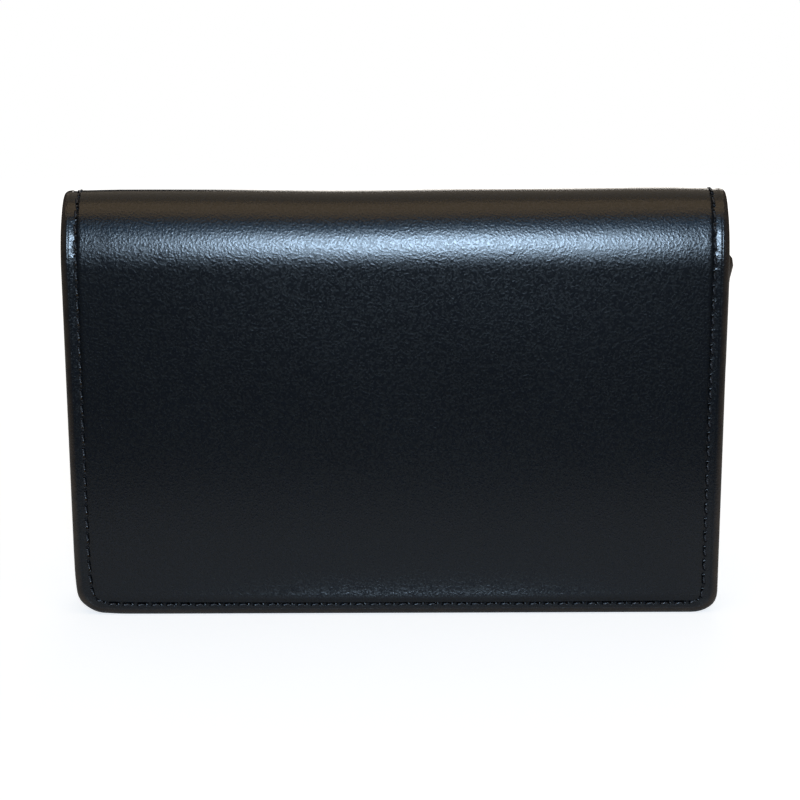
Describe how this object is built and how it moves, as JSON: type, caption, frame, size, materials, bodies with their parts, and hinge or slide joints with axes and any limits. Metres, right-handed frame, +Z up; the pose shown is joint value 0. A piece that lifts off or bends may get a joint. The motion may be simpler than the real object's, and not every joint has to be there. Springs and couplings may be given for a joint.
{
  "type": "business card holder",
  "caption": "Fold-over leather business card case, closed and standing: stitched covers over boards, gusseted card pocket and card slots inside.",
  "frame": {"origin": "middle of the closed case's footprint, on the surface that it stands on", "axes": "+X along the fold, to the right as the front cover is seen; -Y out of the front cover and +Y out of the back cover; +Z up, from the lower edges to the fold"},
  "size_m": [0.1115, 0.0142, 0.0701],
  "materials": {
    "cover_leather": "satin, fine pebbled grain",
    "pocket_leather": "satin, fine pebbled grain",
    "lining": "matte twill",
    "thread": "waxed sheen",
    "board": "matte"
  },
  "bodies": {
    "back_half": {"back_cover": "cover_leather", "back_board": "board", "back_lining": "lining", "gusset": "pocket_leather", "back_needle_thread": "thread", "back_bobbin_thread": "thread"},
    "spine": {"spine_cover": "cover_leather", "spine_lining": "lining", "spine_left_needle_thread": "thread", "spine_left_bobbin_thread": "thread", "spine_right_needle_thread": "thread", "spine_right_bobbin_thread": "thread"},
    "front_half": {"front_cover": "cover_leather", "front_board": "board", "front_lining": "lining", "upper_slot": "pocket_leather", "upper_slot_thread": "thread", "lower_slot": "pocket_leather", "lower_slot_thread": "thread", "front_needle_thread": "thread", "front_bobbin_thread": "thread"},
    "pocket_panel": {"pocket_front": "pocket_leather", "pocket_seam_thread": "thread", "pocket_mouth_thread": "thread"}
  },
  "joints": [
    {"name": "rear_crease", "type": "hinge", "parent": "back_half", "child": "spine", "pos_m": [0, 0.00509, 0.06809], "axis": [-1, 0, 0], "range_deg": [0, 90]},
    {"name": "front_crease", "type": "hinge", "parent": "spine", "child": "front_half", "pos_m": [0, -0.00509, 0.06809], "axis": [-1, 0, 0], "range_deg": [0, 90]},
    {"name": "pocket_gape", "type": "hinge", "parent": "back_half", "child": "pocket_panel", "pos_m": [0, -0.00001, 0.0018], "axis": [1, 0, 0], "range_deg": [0, 6], "deforming": ["gusset"]}
  ],
  "couplings": [
    {"joint": "front_crease", "follows": "rear_crease", "ratio": 1},
    {"joint": "pocket_gape", "follows": "rear_crease", "ratio": 0.066666}
  ]
}
